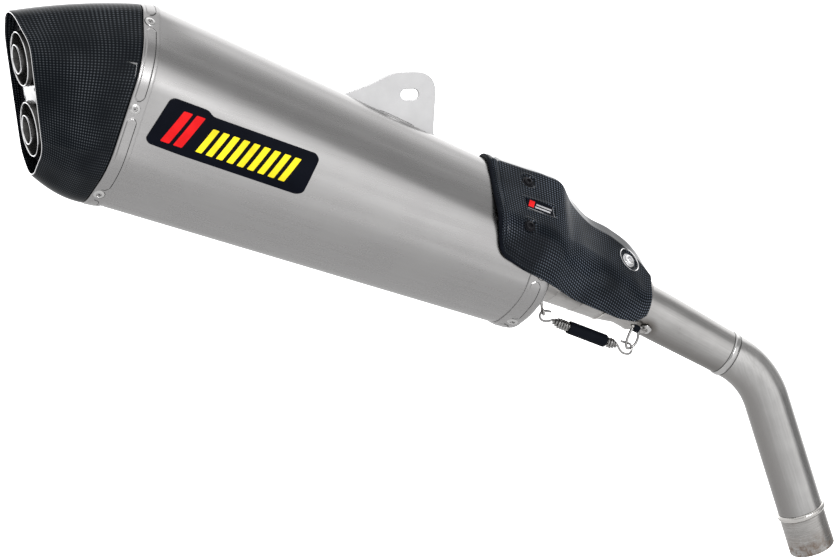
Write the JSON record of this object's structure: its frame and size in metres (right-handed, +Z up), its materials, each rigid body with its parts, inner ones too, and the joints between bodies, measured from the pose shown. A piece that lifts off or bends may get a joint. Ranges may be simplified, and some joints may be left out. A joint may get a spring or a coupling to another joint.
{
  "type": "motorcycle exhaust muffler",
  "caption": "Motorcycle slip-on exhaust muffler: six-sided metal canister, slanted carbon outlet cap, twin outlets, heat shield, hanger bracket and bent link pipe held on by a spring.",
  "frame": {"origin": "middle of the hanger bracket's bolt slot, half way through its plate", "axes": "+X towards the front of the motorcycle, +Y towards its left side, +Z up, with the muffler as it hangs on the motorcycle"},
  "size_m": [0.8467, 0.1354, 0.5552],
  "materials": {
    "titanium": "satin",
    "stainless": "satin",
    "polished_metal": "polished",
    "carbon_fibre": "gloss clear coat over a plain weave",
    "black_steel": "satin",
    "spring_steel": "satin",
    "rubber": "matte",
    "wool": "loose fibre",
    "badge": "gloss"
  },
  "bodies": {
    "muffler": {"outer_sleeve": "titanium", "rear_band": "titanium", "front_end_cap": "titanium", "inlet_cone": "titanium", "inlet_socket": "titanium", "hanger_bracket": "titanium", "hanger_foot": "titanium", "spring_lug": "titanium", "outlet_tube_upper": "stainless", "outlet_tube_lower": "stainless", "rear_bulkhead": "stainless", "perforated_core": "stainless", "shield_standoff_upper": "stainless", "shield_standoff_lower": "stainless", "shield_standoff_front": "stainless", "outlet_bridge": "polished_metal", "shield_screw_front": "polished_metal", "rear_rivet_1": "polished_metal", "rear_rivet_2": "polished_metal", "rear_rivet_3": "polished_metal", "rear_rivet_4": "polished_metal", "rear_rivet_5": "polished_metal", "rear_rivet_6": "polished_metal", "front_rivet_1": "polished_metal", "front_rivet_2": "polished_metal", "front_rivet_3": "polished_metal", "front_rivet_4": "polished_metal", "front_rivet_5": "polished_metal", "front_rivet_6": "polished_metal", "end_cap_shell": "carbon_fibre", "end_cap_face": "carbon_fibre", "heat_shield": "carbon_fibre", "bridge_screw_1": "black_steel", "bridge_screw_2": "black_steel", "shield_screw_upper": "black_steel", "shield_screw_lower": "black_steel", "retaining_spring": "spring_steel", "heat_shield_trim": "rubber", "packing": "wool", "sleeve_badge": "badge", "shield_badge": "badge"},
    "link_pipe": {"link_pipe_cone": "stainless", "link_pipe_bead": "stainless", "link_pipe_bend": "stainless", "collar_ring": "stainless", "inlet_collar": "stainless", "spring_loop": "stainless"},
    "noise_insert_upper": {"noise_insert_upper": "stainless"},
    "noise_insert_lower": {"noise_insert_lower": "stainless"},
    "spring_sleeve": {"spring_sleeve": "rubber"}
  },
  "joints": [
    {"name": "link_pipe_slide", "type": "slide", "parent": "muffler", "child": "link_pipe", "axis": [0.8796, 0, -0.4756], "range_m": [0, 0.015], "stiffness_N_per_m": 4000, "springref_m": -0.012, "deforming": ["retaining_spring"]},
    {"name": "noise_insert_upper_slide", "type": "slide", "parent": "muffler", "child": "noise_insert_upper", "axis": [-0.9903, 0, -0.1392], "range_m": [0, 0.06]},
    {"name": "noise_insert_lower_slide", "type": "slide", "parent": "muffler", "child": "noise_insert_lower", "axis": [-0.9903, 0, -0.1392], "range_m": [0, 0.06]},
    {"name": "spring_sleeve_slide", "type": "slide", "parent": "muffler", "child": "spring_sleeve", "axis": [0.9318, 0, -0.3628], "range_m": [0, 0.0084]}
  ],
  "couplings": [
    {"joint": "spring_sleeve_slide", "follows": "link_pipe_slide", "ratio": 0.55}
  ]
}
